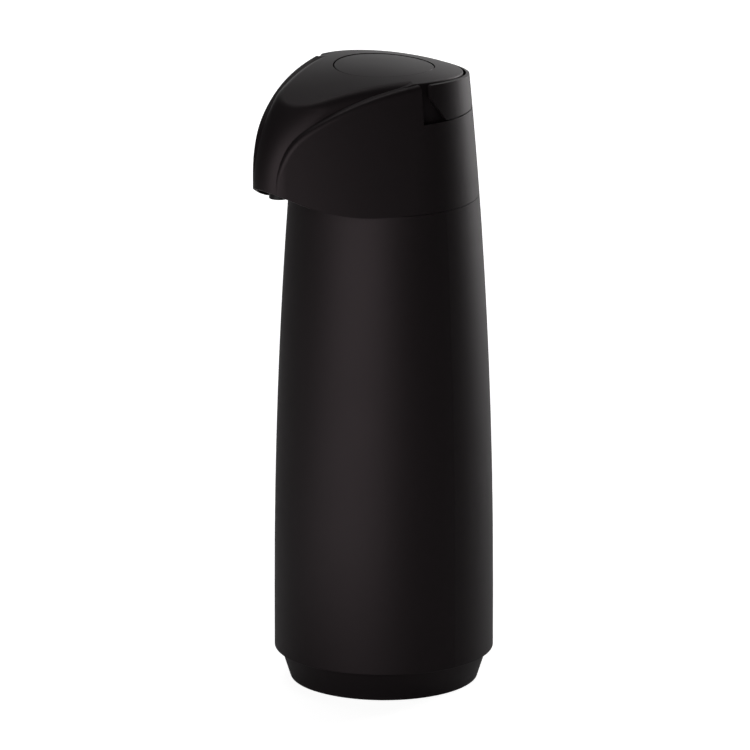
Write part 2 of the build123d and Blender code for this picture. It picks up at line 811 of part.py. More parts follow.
# Press button: a crowned cup whose lip is caught under the rim of its shaft
with BuildPart() as button_blank:
    with BuildSketch(Plane.XY.offset(button_bottom)):
        Circle(button_radius)
    extrude(amount=hood_high - button_bottom)
    add(crown_block(button_drop), mode=Mode.INTERSECT)
    rim = button_blank.edges().filter_by(GeomType.LINE, reverse=True).group_by(Axis.Z)[-1]
    fillet(rim, button_edge_fillet)
button_top_z = crown_height - button_top_thickness
hollow = crown_block(button_drop + button_top_thickness)
with BuildPart() as button_hollow:
    with BuildSketch(Plane.XY.offset(button_bottom)):
        Circle(button_radius - button_wall)
    extrude(amount=hood_high - button_bottom)
    add(hollow, mode=Mode.INTERSECT)
with BuildPart() as push_button:
    add(button_blank.part)
    with BuildSketch(Plane.XY.offset(stop_height - stop_clearance)):
        Circle(button_radius + stop_lip_width)
    extrude(amount=-stop_lip_height)
    add(button_hollow.part, mode=Mode.SUBTRACT)
    with BuildSketch(Plane.XY.offset(bellows_top + bellows_cap_thickness)):
        Circle(button_hub_radius)
        Circle(button_hub_radius - button_wall, mode=Mode.SUBTRACT)
        with PolarLocations((button_hub_radius + button_radius - button_wall) / 2, button_rib_count):
            Rectangle(button_radius - button_wall - button_hub_radius + button_wall, button_rib_thickness)
    extrude(amount=button_top_z - button_rib_cut - bellows_top - bellows_cap_thickness)
push_button.part.label = "push_button"


# Pump head: outer shell with its open underside, the button's shaft, screw bosses and handle pivots
outer_flank = flank_form(0.0)
outer_hood_front, outer_hood_rear = outer_hood_form()
inner_flank = flank_form(head_wall)
inner_hood = hood_form(head_wall, 0.0)
handle_inner_radius = casing_outer_radius(pivot_z) - handle_thickness
pivot_face_x = sqrt(handle_inner_radius**2 - (pivot_y + pivot_boss_radius) ** 2) - pivot_boss_gap
pivot_pin_end_x = pivot_face_x - pivot_pin_length
with BuildPart() as head_void:
    add(inner_flank)
    add(inner_hood)
    with BuildSketch(Plane.XY.offset(shaft_bottom)):
        Circle(shaft_radius + shaft_wall)
    extrude(amount=hood_high - shaft_bottom, mode=Mode.SUBTRACT)
    for angle in screw_angles:
        boss_x, boss_y = screw_circle * cos(radians(angle)), screw_circle * sin(radians(angle))
        with BuildSketch(Plane.XY.offset(flange_top)):
            with Locations(Location((boss_x, boss_y, 0), (0, 0, angle))):
                Circle(boss_radius)
                with Locations((boss_radius, 0)):
                    Rectangle(2 * boss_radius, boss_web_thickness)
        extrude(amount=boss_height, mode=Mode.SUBTRACT)
    for side in (1, -1):
        with BuildSketch(Plane.YZ.offset(side * (pivot_pin_end_x - head_wall))):
            with Locations((pivot_y, pivot_z)):
                Circle(pivot_boss_radius)
        extrude(amount=side * 2 * head_wall + side * pivot_pin_length, mode=Mode.SUBTRACT)
with BuildPart() as head_shell:
    add(outer_flank)
    add(outer_hood_front)
    add(outer_hood_rear)
    for side in (1, -1):
        with BuildSketch(Plane.YZ.offset(side * pivot_pin_end_x)):
            with Locations((pivot_y, pivot_z)):
                Circle(pivot_boss_radius)
        extrude(amount=side * (pivot_face_x - pivot_pin_end_x))
    add(above_lip(0.0), mode=Mode.INTERSECT)
    add(head_void.part, mode=Mode.SUBTRACT)
    with BuildSketch(Plane.XY.offset(shaft_bottom)):
        Circle(shaft_radius)
    extrude(amount=stop_height - shaft_bottom, mode=Mode.SUBTRACT)
    with BuildSketch(Plane.XY.offset(stop_height)):
        Circle(opening_radius)
    extrude(amount=hood_high - stop_height, mode=Mode.SUBTRACT)
    for angle in screw_angles:
        boss_x, boss_y = screw_circle * cos(radians(angle)), screw_circle * sin(radians(angle))
        with BuildSketch(Plane.XY.offset(flange_top)):
            with Locations((boss_x, boss_y)):
                Circle(screw_radius + push_fit)
        extrude(amount=screw_length - flange_thickness + push_fit, mode=Mode.SUBTRACT)
    for side in (1, -1):
        with BuildSketch(Plane.YZ.offset(side * (pivot_pin_end_x - pivot_clearance))):
            with Locations((pivot_y, pivot_z)):
                Circle(pivot_pin_radius + pivot_clearance)
        extrude(amount=side * (pivot_pin_length + head_wall), mode=Mode.SUBTRACT)
head_shell.part.label = "head_shell"


# Floor of the beak: closes the head from below, a step inside its edge, round the spout
floor_flank = flank_form(head_wall + beak_floor_gap)
floor_hood = hood_form(head_wall + beak_floor_gap, 0.0)
with BuildPart() as beak_floor:
    add(floor_flank)
    add(floor_hood)
    add(above_lip(beak_floor_rise), mode=Mode.INTERSECT)
    add(above_lip(beak_floor_rise + beak_floor_thickness), mode=Mode.SUBTRACT)
    with BuildSketch(Plane.XY.offset(hood_low)):
        Circle(flange_radius + beak_floor_gap)
        with Locations((0, casing_radius)):
            Rectangle(4 * casing_radius, 2 * (casing_radius - beak_floor_front))
        with Locations((0, spout_y)):
            Circle(spout_radius + push_fit)
    extrude(amount=hood_high - hood_low, mode=Mode.SUBTRACT)
beak_floor.part.label = "beak_floor"


# Screws from below through the cap's flange into the head's bosses
with BuildPart() as head_screws:
    for angle in screw_angles:
        spot = (screw_circle * cos(radians(angle)), screw_circle * sin(radians(angle)))
        with BuildSketch(Plane.XY.offset(flange_bottom)):
            with Locations(spot):
                Circle(screw_head_radius)
        extrude(amount=-screw_head_height)
        with BuildSketch(Plane.XY.offset(flange_bottom)):
            with Locations(spot):
                Circle(screw_radius)
        extrude(amount=screw_length)
        with BuildSketch(Plane.XY.offset(flange_bottom - screw_head_height)):
            with Locations(spot):
                RegularPolygon(screw_socket_radius, 6)
        extrude(amount=screw_head_height / 2, mode=Mode.SUBTRACT)
head_screws.part.label = "head_screws"


# Riser: valve body through the cap, with the dip tube's socket, the ball's seat and its chamber
seat_height = valve_body_bottom + tube_insertion
ball_rest = seat_height + valve_seat_length + sqrt(ball_radius**2 - valve_seat_radius**2) + ball_seat_gap
guard_bottom = ball_rest + ball_radius + ball_lift + ball_seat_gap
with BuildPart() as valve_body:
    with BuildSketch(Plane.XZ):
        with BuildLine():
            Polyline(
                (dip_tube_radius + push_fit, valve_body_bottom),
                (valve_body_radius, valve_body_bottom),
                (valve_body_radius, cap_plate_top),
                (valve_flange_radius, cap_plate_top),
                (valve_flange_radius, cap_plate_top + valve_flange_thickness),
                (chamber_radius, cap_plate_top + valve_flange_thickness),
                (chamber_radius, seat_height + valve_seat_length + seat_cone_height),
                (valve_seat_radius, seat_height + valve_seat_length),
                (valve_seat_radius, seat_height),
                (dip_tube_radius + push_fit, seat_height),
                (dip_tube_radius + push_fit, valve_body_bottom),
            )
        make_face()
    revolve(axis=Axis.Z)
valve_body.part.label = "valve_body"

with BuildPart() as dip_tube:
    with BuildSketch(Plane.XY.offset(dip_tube_end)):
        Circle(dip_tube_radius)
        Circle(dip_tube_bore_radius, mode=Mode.SUBTRACT)
    extrude(amount=seat_height - dip_tube_end)
    with BuildSketch(Plane.XZ):
        with Locations((0, dip_tube_end)):
            Rectangle(2 * dip_tube_slot_width, 2 * dip_tube_slot_height)
    extrude(amount=2 * dip_tube_radius, both=True, mode=Mode.SUBTRACT)
dip_tube.part.label = "dip_tube"

with BuildPart() as check_ball:
    with Locations((0, 0, ball_rest)):
        Sphere(ball_radius)
check_ball.part.label = "check_ball"

# Guard above the ball: a ring with a bridge, so that the ball can't close the tube
with BuildPart() as ball_guard:
    with BuildSketch(Plane.XY.offset(guard_bottom)):
        Circle(chamber_radius - push_fit)
        Circle(delivery_bore_radius, mode=Mode.SUBTRACT)
        Rectangle(2 * delivery_bore_radius + guard_thickness, guard_thickness)
    extrude(amount=guard_thickness)
ball_guard.part.label = "ball_guard"

# Delivery tube: up out of the valve, forwards through the head, down into the spout
delivery_low = guard_bottom + guard_thickness
spout_tube_end = spout_bottom + spout_recess
with BuildPart() as delivery_tube:
    with BuildLine() as route:
        FilletPolyline(
            (0, 0, delivery_low),
            (0, 0, delivery_height),
            (0, spout_y, delivery_height),
            (0, spout_y, spout_tube_end),
            radius=delivery_bend_radius,
        )
    with BuildSketch(Plane.XY.offset(delivery_low)):
        Circle(delivery_radius)
        Circle(delivery_bore_radius, mode=Mode.SUBTRACT)
    sweep(path=route.line)
delivery_tube.part.label = "delivery_tube"

with BuildPart() as spout_nozzle:
    with BuildSketch(Plane.XY.offset(spout_bottom)):
        with Locations((0, spout_y)):
            Circle(spout_radius)
    extrude(amount=spout_length)
    with BuildSketch(Plane.XY.offset(spout_bottom)):
        with Locations((0, spout_y)):
            Circle(delivery_bore_radius)
    extrude(amount=spout_recess, mode=Mode.SUBTRACT)
    with BuildSketch(Plane.XY.offset(spout_tube_end)):
        with Locations((0, spout_y)):
            Circle(delivery_radius + push_fit)
    extrude(amount=spout_length, mode=Mode.SUBTRACT)
spout_nozzle.part.label = "spout_nozzle"


# Carrying handle: a band that continues the casing's taper, cut to its side view, with two pivot pins
handle_end_y = pivot_y - handle_reach
with BuildPart() as handle_side:
    with BuildSketch(Plane.YZ) as side_view:
        corner = (handle_end_y, pivot_z + handle_corner_rise)
        foot = (pivot_y + handle_foot[0], handle_bottom)
        with BuildLine():
            Polyline(
                (handle_end_y, hood_high),
                corner,
                (pivot_y - handle_slant[0], pivot_z - handle_slant[1]),
                foot,
                (2 * casing_radius, handle_bottom),
                (2 * casing_radius, hood_high),
                (handle_end_y, hood_high),
            )
        make_face()
        for point in (corner, foot):
            fillet(side_view.vertices().sort_by_distance((0, *point))[0], handle_corner_radius)
    extrude(amount=casing_radius, both=True)
handle_crown = crown_block(handle_drop)
with BuildPart() as carry_handle:
    with BuildSketch(Plane.XZ):
        with BuildLine():
            ThreePointArc(*taper_points(handle_bottom - handle_gap, hood_high, 0.0))
            ThreePointArc(*taper_points(handle_bottom - handle_gap, hood_high, handle_thickness))
            for z in (handle_bottom - handle_gap, hood_high):
                Line((casing_outer_radius(z), z), (casing_outer_radius(z) - handle_thickness, z))
        make_face()
    revolve(axis=Axis.Z)
    add(handle_side.part, mode=Mode.INTERSECT)
    add(handle_crown, mode=Mode.INTERSECT)
    ends = carry_handle.edges().filter_by(lambda e: abs(e.center().Y - handle_end_y) < handle_drop)
    for group in (ends.filter_by(lambda e: e.center().X > 0), ends.filter_by(lambda e: e.center().X < 0)):
        fillet(group.sort_by(Axis.Z)[-1], handle_top_radius)
    for side in (1, -1):
        with BuildSketch(Plane.YZ.offset(side * pivot_pin_end_x)):
            with Locations((pivot_y, pivot_z)):
                Circle(pivot_pin_radius)
        extrude(amount=side * (pivot_pin_length + pivot_boss_gap + handle_thickness / 2))
carry_handle.part.label = "carry_handle"


pieces = (
    outer_casing,
    base_cup,
    base_cushion,
    glass_liner,
    liner_seal,
    lid_gasket,
    screw_cap,
    air_tube,
    bellows_seat,
    bellows,
    return_spring,
    bellows_cap,
    intake_flap,
    push_button,
    head_shell,
    beak_floor,
    head_screws,
    valve_body,
    dip_tube,
    check_ball,
    ball_guard,
    delivery_tube,
    spout_nozzle,
    carry_handle,
)
for piece in pieces:
    export_step(piece.part, f"parts/{piece.part.label}.step")
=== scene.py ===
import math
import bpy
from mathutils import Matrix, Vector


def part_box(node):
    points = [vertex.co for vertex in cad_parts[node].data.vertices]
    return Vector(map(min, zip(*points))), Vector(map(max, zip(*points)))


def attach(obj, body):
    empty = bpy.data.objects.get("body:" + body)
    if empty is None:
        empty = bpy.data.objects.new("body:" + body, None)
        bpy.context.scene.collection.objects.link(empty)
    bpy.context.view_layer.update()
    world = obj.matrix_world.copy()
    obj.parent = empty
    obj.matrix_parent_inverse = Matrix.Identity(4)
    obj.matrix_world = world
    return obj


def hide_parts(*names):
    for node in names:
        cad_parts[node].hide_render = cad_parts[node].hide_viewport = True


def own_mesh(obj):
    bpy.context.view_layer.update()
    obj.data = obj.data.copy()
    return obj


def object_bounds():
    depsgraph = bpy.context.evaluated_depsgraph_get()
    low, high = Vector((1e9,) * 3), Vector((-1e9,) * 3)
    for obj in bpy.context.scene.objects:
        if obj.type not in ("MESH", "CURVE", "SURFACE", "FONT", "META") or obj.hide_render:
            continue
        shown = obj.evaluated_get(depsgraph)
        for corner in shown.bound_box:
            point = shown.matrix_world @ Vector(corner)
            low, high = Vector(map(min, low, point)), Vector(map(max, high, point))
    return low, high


bl_info = {
    "name": "Pump flask",
    "version": (1, 0, 0),
    "blender": (4, 5, 0),
    "location": "View3D > Sidebar > Pump flask",
    "description": "Finishes, threads, screws, bellows, spring and studio for a pump-action vacuum flask",
    "category": "Object",
}

import bmesh
import bpy
from bpy.props import FloatProperty, FloatVectorProperty, IntProperty, PointerProperty
from mathutils import Vector

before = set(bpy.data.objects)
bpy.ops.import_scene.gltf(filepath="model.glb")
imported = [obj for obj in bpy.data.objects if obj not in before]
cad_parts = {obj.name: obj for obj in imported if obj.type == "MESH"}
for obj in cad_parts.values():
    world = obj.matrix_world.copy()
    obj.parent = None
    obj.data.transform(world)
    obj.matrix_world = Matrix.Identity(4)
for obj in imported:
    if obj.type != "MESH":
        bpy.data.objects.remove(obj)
CAD_LOW, CAD_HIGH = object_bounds()
MM = 0.001

# The photograph's side, and how far across and down it the middle of the flask's foot is, in pixels.
PHOTO_PIXELS = 750
FOOT_ACROSS, FOOT_DOWN = 383.88, 674.9

# From the lid gasket's edge out to the neck's wall, and from there out to the screw cap's wall.
GASKET_INSET = 4.0 * MM
CAP_CLEARANCE = 2.0 * MM

# Where the pump head's four screws stand, in degrees round the flask.
SCREW_DEGREES = (-18, 60, 120, 198)

# A ridge's foot lies this share of its height inside the wall. It fades in and out over this
# share of its length at each end, and starts at this share of its height.
RIDGE_SINK = 0.15
RIDGE_FADE = 0.12
RIDGE_LEAST = 0.08

# Steps in one turn of a large round piece.
ROUND_STEPS = 128


def from_hex(text):
    """An sRGB hex colour as the linear RGBA that shaders take."""
    channels = [int(text[i : i + 2], 16) / 255 for i in (0, 2, 4)]
    linear = [c / 12.92 if c <= 0.04045 else ((c + 0.055) / 1.055) ** 2.4 for c in channels]
    return (*linear, 1.0)


def add_node(tree, kind, settings=None, links=None):
    """Adds one node, sets its inputs (by name or number) or properties, and links its inputs."""
    node = tree.nodes.new(kind)
    for name, value in (settings or {}).items():
        if isinstance(name, int) or name in node.inputs:
            node.inputs[name].default_value = value
        else:
            setattr(node, name, value)
    for name, source in (links or {}).items():
        tree.links.new(source, node.inputs[name])
    return node


def bare_material(name):
    """An empty node material, its tree and its output."""
    material = bpy.data.materials.new(name)
    material.use_nodes = True
    material.node_tree.nodes.clear()
    return material, material.node_tree, add_node(material.node_tree, "ShaderNodeOutputMaterial")


def grain(tree, spacing, depth, detail=3.0):
    """Bump of a grain that is the same in all directions, with that spacing and depth."""
    coords = add_node(tree, "ShaderNodeTexCoord").outputs["Object"]
    noise = add_node(
        tree, "ShaderNodeTexNoise", {"Scale": 1 / spacing, "Detail": detail}, {"Vector": coords}
    )
    bump = add_node(
        tree,
        "ShaderNodeBump",
        {"Strength": 1.0, "Distance": depth},
        {"Height": noise.outputs["Fac"]},
    )
    return bump.outputs["Normal"]


def uneven(tree, patch, low, high):
    """A number that drifts between low and high, over patches of that size."""
    coords = add_node(tree, "ShaderNodeTexCoord").outputs["Object"]
    noise = add_node(
        tree, "ShaderNodeTexNoise", {"Scale": 1 / patch, "Detail": 2.0}, {"Vector": coords}
    )
    spread = add_node(
        tree,
        "ShaderNodeMapRange",
        {"From Min": 0.3, "From Max": 0.7, "To Min": low, "To Max": high},
        {"Value": noise.outputs["Fac"]},
    )
    return spread.outputs["Result"]


def moulded_black_polypropylene(name, look):
    """Black polypropylene from a spark-eroded mould: satin, with a grain that softens highlights."""
    material, tree, output = bare_material(name)
    roughness = uneven(tree, 60.0 * MM, look.roughness - 0.02, look.roughness + 0.03)
    # The real grain is about 0.1 mm, under a pixel, so it is drawn 0.7 mm wide to show at all.
    normal = grain(tree, look.grain, look.grain_depth)
    shader = add_node(
        tree,
        "ShaderNodeBsdfPrincipled",
        {
            "Base Color": (*look.colour, 1.0),
            "IOR": 1.49,
            "Specular IOR Level": look.specular,
            "Specular Tint": (*look.sheen_tint, 1.0),
        },
        {"Roughness": roughness, "Normal": normal},
    )
    tree.links.new(shader.outputs[0], output.inputs["Surface"])
    return material


def polished_black_polypropylene(name, look):
    """The same plastic from a polished mould, round the spout: its highlights are tighter."""
    material, tree, output = bare_material(name)
    shader = add_node(
        tree,
        "ShaderNodeBsdfPrincipled",
        {"Base Color": (*look.colour, 1.0), "IOR": 1.49, "Specular IOR Level": look.specular},
        {
            "Roughness": uneven(tree, 25.0 * MM, 0.2, 0.3),
            "Normal": grain(tree, 4.0 * MM, 0.01 * MM),
        },
    )
    tree.links.new(shader.outputs[0], output.inputs["Surface"])
    return material


def grey_polypropylene(name):
    """Food-grade polypropylene coloured grey, as moulded: slightly waxy, with faint flow marks."""
    material, tree, output = bare_material(name)
    tone = add_node(
        tree,
        "ShaderNodeMix",
        {"data_type": "RGBA", 6: from_hex("62625f"), 7: from_hex("6c6c69")},
        {0: uneven(tree, 14.0 * MM, 0.0, 1.0)},
    )
    shader = add_node(
        tree,
        "ShaderNodeBsdfPrincipled",
        {"IOR": 1.49, "Subsurface Weight": 0.08, "Subsurface Scale": 1.5 * MM},
        {
            "Base Color": tone.outputs[2],
            "Roughness": uneven(tree, 9.0 * MM, 0.34, 0.46),
            "Normal": grain(tree, 1.2 * MM, 0.01 * MM),
        },
    )
    tree.links.new(shader.outputs[0], output.inputs["Surface"])
    return material


def natural_polypropylene(name):
    """Uncoloured polypropylene drawn into tube: milky, lets light through, with lines along it."""
    material, tree, output = bare_material(name)
    coords = add_node(tree, "ShaderNodeTexCoord").outputs["Object"]
    stretched = add_node(
        tree, "ShaderNodeMapping", {"Scale": (1.0, 1.0, 0.04)}, {"Vector": coords}
    )
    # The real lines are a few tenths of a millimetre apart, and are drawn at 0.9 mm to show.
    lines = add_node(
        tree,
        "ShaderNodeTexNoise",
        {"Scale": 1 / (0.9 * MM), "Detail": 2.0},
        {"Vector": stretched.outputs[0]},
    )
    bump = add_node(
        tree, "ShaderNodeBump", {"Distance": 0.02 * MM}, {"Height": lines.outputs["Fac"]}
    )
    shader = add_node(
        tree,
        "ShaderNodeBsdfPrincipled",
        {
            "Base Color": from_hex("e3e1da"),
            "IOR": 1.49,
            "Subsurface Weight": 0.35,
            "Subsurface Scale": 2.0 * MM,
        },
        {"Roughness": uneven(tree, 6.0 * MM, 0.22, 0.34), "Normal": bump.outputs["Normal"]},
    )
    tree.links.new(shader.outputs[0], output.inputs["Surface"])
    return material


def cast_silicone(name):
    """Translucent moulded silicone: warm white, with a soft sheen and a matt grain."""
    material, tree, output = bare_material(name)
    # The mould's grain is about 0.1 mm, and is drawn 0.8 mm wide to show.
    shader = add_node(
        tree,
        "ShaderNodeBsdfPrincipled",
        {
            "Base Color": from_hex("d6d2c8"),
            "IOR": 1.41,
            "Subsurface Weight": 0.4,
            "Subsurface Scale": 2.5 * MM,
            "Sheen Weight": 0.1,
        },
        {
            "Roughness": uneven(tree, 8.0 * MM, 0.45, 0.6),
            "Normal": grain(tree, 0.8 * MM, 0.02 * MM),
        },
    )
    tree.links.new(shader.outputs[0], output.inputs["Surface"])
    return material


def moulded_black_rubber(name):
    """Black rubber from a blasted mould: dry, with a dusty sheen and a pebbled grain."""
    material, tree, output = bare_material(name)
    # Blasting leaves pebbles of about 0.2 mm, and they are drawn 0.6 mm wide to show.
    shader = add_node(
        tree,
        "ShaderNodeBsdfPrincipled",
        {
            "Base Color": from_hex("26262a"),
            "IOR": 1.52,
            "Sheen Weight": 0.15,
            "Sheen Roughness": 0.5,
        },
        {
            "Roughness": uneven(tree, 12.0 * MM, 0.6, 0.75),
            "Normal": grain(tree, 0.6 * MM, 0.03 * MM),
        },
    )
    tree.links.new(shader.outputs[0], output.inputs["Surface"])
    return material


def silvered_glass(name):
    """Blown glass silvered on its inner walls: a mirror under clear glass, gently rippled."""
    material, tree, output = bare_material(name)
    shader = add_node(
        tree,
        "ShaderNodeBsdfPrincipled",
        {
            "Base Color": from_hex("dedfe0"),
            "Metallic": 1.0,
            "Coat Weight": 1.0,
            "Coat Roughness": 0.02,
            "Coat IOR": 1.52,
        },
        {
            "Roughness": uneven(tree, 20.0 * MM, 0.06, 0.14),
            "Normal": grain(tree, 22.0 * MM, 0.25 * MM, 1.0),
        },
    )
    tree.links.new(shader.outputs[0], output.inputs["Surface"])
    return material


def drawn_stainless_wire(name):
    """Stainless steel pulled through a die: bright, with fine marks that blur the highlight."""
    material, tree, output = bare_material(name)
    # The die's marks are some hundredths of a millimetre wide, and are drawn at 0.35 mm to show.
    shader = add_node(
        tree,
        "ShaderNodeBsdfPrincipled",
        {"Base Color": from_hex("c3c2bf"), "Metallic": 1.0},
        {
            "Roughness": uneven(tree, 3.0 * MM, 0.24, 0.36),
            "Normal": grain(tree, 0.35 * MM, 0.006 * MM),
        },
    )
    tree.links.new(shader.outputs[0], output.inputs["Surface"])
    return material


def lapped_stainless_ball(name):
    """Stainless steel lapped round and polished: a clean mirror with the faintest haze."""
    material, tree, output = bare_material(name)
    shader = add_node(
        tree,
        "ShaderNodeBsdfPrincipled",
        {"Base Color": from_hex("cfcecb"), "Metallic": 1.0},
        {"Roughness": uneven(tree, 2.5 * MM, 0.05, 0.1)},
    )
    tree.links.new(shader.outputs[0], output.inputs["Surface"])
    return material


def dress(nodes, material):
    """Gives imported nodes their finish."""
    for node in nodes:
        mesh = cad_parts[node].data
        mesh.materials.clear()
        mesh.materials.append(material)


def node_box(node):
    """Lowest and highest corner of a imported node."""
    low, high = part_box(node)
    return Vector(low), Vector(high)


def new_piece(name, shape, material, body):
    """Turns a finished bmesh into a smooth piece with its finish, riding on its body."""
    bmesh.ops.recalc_face_normals(shape, faces=shape.faces)
    mesh = bpy.data.meshes.new(name)
    shape.to_mesh(mesh)
    shape.free()
    for face in mesh.polygons:
        face.use_smooth = True
    mesh.set_sharp_from_angle(angle=math.radians(40))
    mesh.materials.append(material)
    piece = bpy.data.objects.new(name, mesh)
    bpy.context.scene.collection.objects.link(piece)
    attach(piece, body)
    return piece


def angles_round(count):
    """That many angles, evenly spaced round a circle."""
    return [math.tau * step / count for step in range(count)]


def polar(radius, angle, height, centre=Vector()):
    """The point at that radius, angle and height round centre."""
    return centre + Vector((radius * math.cos(angle), radius * math.sin(angle), height))


def join_rings(shape, rings, closed):
    """Skins rings of points that follow each other, and caps the ends where the run isn't closed."""
    rings = [[shape.verts.new(point) for point in ring] for ring in rings]
    count = len(rings[0])
    following = rings[1:] + rings[:1] if closed else rings[1:]
    for one, other in zip(rings, following):
        for i in range(count):
            j = (i + 1) % count
            shape.faces.new((one[i], one[j], other[j], other[i]))
    if not closed:
        shape.faces.new(rings[0])
        shape.faces.new(rings[-1][::-1])


def turned(shape, profile):
    """Turns a closed profile of radii and heights round the flask's axis."""
    rings = []
    for angle in angles_round(ROUND_STEPS):
        rings.append([polar(radius, angle, z) for radius, z in profile])
    join_rings(shape, rings, closed=True)


def wound(shape, section_at, turns, steps, centre=Vector()):
    """Winds a section right-handed round centre; section_at gives its radii and heights at a turn."""
    rings = []
    total = round(steps * turns)
    for step in range(total + 1):
        turn = turns * step / total
        rings.append([polar(radius, math.tau * turn, z, centre) for radius, z in section_at(turn)])
    join_rings(shape, rings, closed=False)


def thread_ridge(shape, wall, height, foot, low, pitch, turns, steps, centre=Vector()):
    """A thread's ridge on a wall of that radius, from low up; a negative height stands inwards."""

    def section_at(turn):
        share = min(turn, turns - turn) / (RIDGE_FADE * turns)
        stand = height * max(RIDGE_LEAST, math.sin(math.pi / 2 * min(share, 1.0)))
        root, crest = wall - RIDGE_SINK * stand, wall + stand
        middle = low + pitch * turn
        return (
            (root, middle - foot),
            (crest, middle - foot / 2),
            (crest, middle + foot / 2),
            (root, middle + foot),
        )

    wound(shape, section_at, turns, steps, centre)


class AirpotShellLook(bpy.types.PropertyGroup):
    """Finish of the casing, foot, head, button, handle and spout"""

    colour: FloatVectorProperty(
        name="Colour",
        description="Body colour of the black plastic",
        subtype="COLOR",
        default=from_hex("110e0f")[:3],
    )
    sheen_tint: FloatVectorProperty(
        name="Reflection tint",
        description="Warm cast of the satin's reflections",
        subtype="COLOR",
        default=from_hex("ffeaf0")[:3],
    )
    roughness: FloatProperty(
        name="Roughness",
        description="Satin of the mould's surface",
        subtype="FACTOR",
        default=0.5,
        min=0.0,
        max=1.0,
    )
    specular: FloatProperty(
        name="Specular",
        description="Strength of the plastic's reflections",
        subtype="FACTOR",
        default=0.3,
        min=0.0,
        max=1.0,
    )
    grain: FloatProperty(
        name="Grain",
        description="Spacing of the mould's grain",
        subtype="DISTANCE",
        default=0.7 * MM,
        min=0.1 * MM,
    )
    grain_depth: FloatProperty(
        name="Grain depth",
        description="Depth of the mould's grain",
        subtype="DISTANCE",
        default=0.006 * MM,
        min=0.0,
    )


class AirpotThreads(bpy.types.PropertyGroup):
    """Threads of the neck and of the screw cap"""

    pitch: FloatProperty(
        name="Pitch",
        description="Rise of the pump head in one turn",
        subtype="DISTANCE",
        default=4.0 * MM,
        min=2.0 * MM,
    )
    turns: FloatProperty(
        name="Turns", description="Turns that each thread makes", default=1.5, min=0.5
    )
    height: FloatProperty(
        name="Ridge height",
        description="How far a ridge stands off its wall",
        subtype="DISTANCE",
        default=1.4 * MM,
        min=0.2 * MM,
    )
    foot: FloatProperty(
        name="Ridge foot",
        description="Half the width of a ridge at its foot",
        subtype="DISTANCE",
        default=1.0 * MM,
        min=0.2 * MM,
    )
    below_rim: FloatProperty(
        name="Below the rim",
        description="From the neck's rim down to the middle of its thread's upper end",
        subtype="DISTANCE",
        default=1.6 * MM,
        min=0.0,
    )


class AirpotScrews(bpy.types.PropertyGroup):
    """The four self-tapping screws that hold the pump head on its screw cap"""

    head_radius: FloatProperty(
        name="Head radius",
        description="Radius of the pan head",
        subtype="DISTANCE",
        default=3.0 * MM,
        min=2.0 * MM,
    )
    head_height: FloatProperty(
        name="Head height",
        description="Height of the pan head",
        subtype="DISTANCE",
        default=1.6 * MM,
        min=1.2 * MM,
    )
    socket_radius: FloatProperty(
        name="Socket",
        description="From the middle of the hexagon socket to its corners",
        subtype="DISTANCE",
        default=1.4 * MM,
        min=0.5 * MM,
    )
    socket_depth: FloatProperty(
        name="Socket depth",
        description="Depth of the hexagon socket",
        subtype="DISTANCE",
        default=0.8 * MM,
        min=0.2 * MM,
    )
    shank_radius: FloatProperty(
        name="Shank radius",
        description="Radius of the shank between the threads",
        subtype="DISTANCE",
        default=1.5 * MM,
        min=0.5 * MM,
    )
    tip_radius: FloatProperty(
        name="Tip radius",
        description="Radius at the blunt end of the point",
        subtype="DISTANCE",
        default=0.25 * MM,
        min=0.05 * MM,
    )
    point: FloatProperty(
        name="Point",
        description="Length of the tapered point",
        subtype="DISTANCE",
        default=1.2 * MM,
        min=0.2 * MM,
    )
    pitch: FloatProperty(
        name="Pitch",
        description="Pitch of the self-tapping thread",
        subtype="DISTANCE",
        default=1.2 * MM,
        min=0.5 * MM,
    )
    ridge: FloatProperty(
        name="Ridge",
        description="Height of the thread, and half its width at the foot",
        subtype="DISTANCE",
        default=0.3 * MM,
        min=0.1 * MM,
    )
    plain: FloatProperty(
        name="Plain shank",
        description="Shank without a thread under the head",
        subtype="DISTANCE",
        default=0.6 * MM,
        min=0.0,
    )
    run_out: FloatProperty(
        name="Run-out",
        description="Shank without a thread before the point",
        subtype="DISTANCE",
        default=0.2 * MM,
        min=0.0,
    )


class AirpotPump(bpy.types.PropertyGroup):
    """Folds of the bellows and coils of the spring inside it"""

    folds: IntProperty(name="Folds", description="Number of folds", default=6, min=2, max=12)
    fold_depth: FloatProperty(
        name="Fold depth",
        description="From the root to the crest of a fold",
        subtype="DISTANCE",
        default=4.6 * MM,
        min=1.0 * MM,
    )
    wall: FloatProperty(
        name="Wall",
        description="Thickness of the rubber",
        subtype="DISTANCE",
        default=1.0 * MM,
        min=0.3 * MM,
    )
    collar: FloatProperty(
        name="Collar",
        description="Straight part at each end",
        subtype="DISTANCE",
        default=2.0 * MM,
        min=0.5 * MM,
    )
    coils: FloatProperty(
        name="Coils",
        description="Working coils, besides one closed coil at each end",
        default=3.0,
        min=1.0,
    )
    wire: FloatProperty(
        name="Wire",
        description="Diameter of the spring's wire",
        subtype="DISTANCE",
        default=1.6 * MM,
        min=0.5 * MM,
    )
    coil_radius: FloatProperty(
        name="Coil radius",
        description="Radius of the spring to the middle of its wire",
        subtype="DISTANCE",
        default=13.0 * MM,
        min=4.0 * MM,
    )
    travel: FloatProperty(
        name="Travel",
        description="How far the button goes down",
        subtype="DISTANCE",
        default=18.0 * MM,
        min=1.0 * MM,
    )


